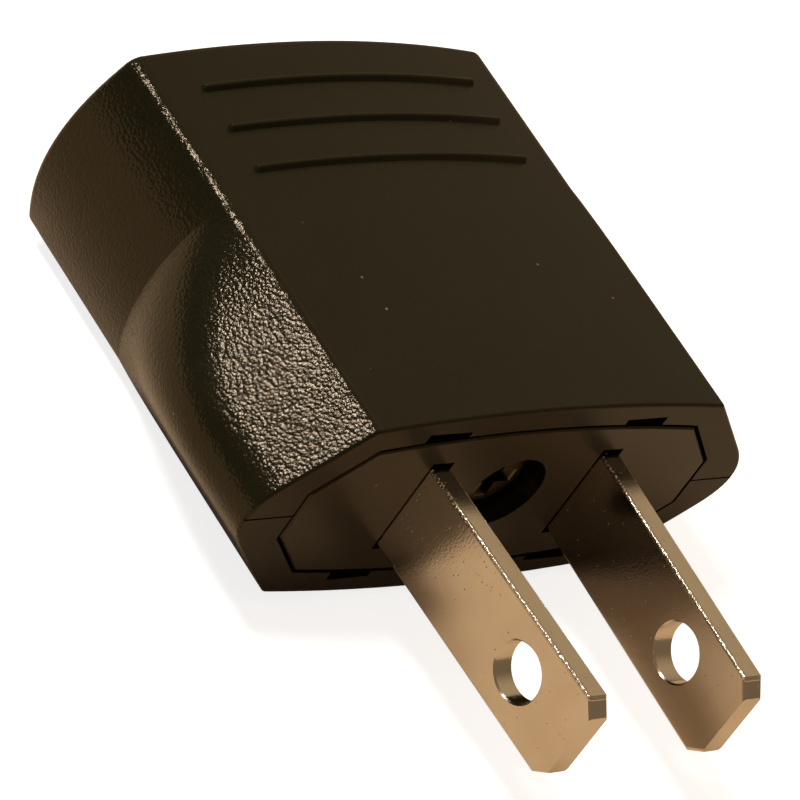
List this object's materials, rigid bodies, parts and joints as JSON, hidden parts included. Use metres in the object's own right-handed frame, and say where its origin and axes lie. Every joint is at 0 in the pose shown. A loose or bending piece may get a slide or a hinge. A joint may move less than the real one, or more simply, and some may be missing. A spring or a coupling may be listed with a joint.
{
  "type": "plug adapter",
  "caption": "Travel plug adapter with flat parallel blades on a screwed front plate, a winged moulded housing with grip ribs, and sockets for round pins in the rear wall.",
  "frame": {"origin": "middle of the front plate's outer face, between the blade roots, where the adapter meets the wall socket", "axes": "+X across the two blades, +Y from the blades to the socket end, +Z out of the ribbed wide face; the blades point along -Y"},
  "size_m": [0.0384, 0.0459, 0.0159],
  "materials": {
    "housing_plastic": "black moulded plastic, satin wide faces, leather-grained sides",
    "plate_plastic": "smooth black moulded plastic, semi-gloss",
    "blade_metal": "nickel-plated brass with a warm tone, lightly pitted",
    "spring_metal": "phosphor bronze strip",
    "rivet_metal": "headed brass",
    "screw_steel": "zinc-plated steel, dulled and dark in the recess"
  },
  "bodies": {
    "root": {"housing": "housing_plastic", "front_plate": "plate_plastic", "blade_left": "blade_metal", "blade_right": "blade_metal", "contact_spring_left": "spring_metal", "contact_spring_right": "spring_metal", "rivet_left": "rivet_metal", "rivet_right": "rivet_metal", "centre_screw": "screw_steel"}
  },
  "joints": []
}
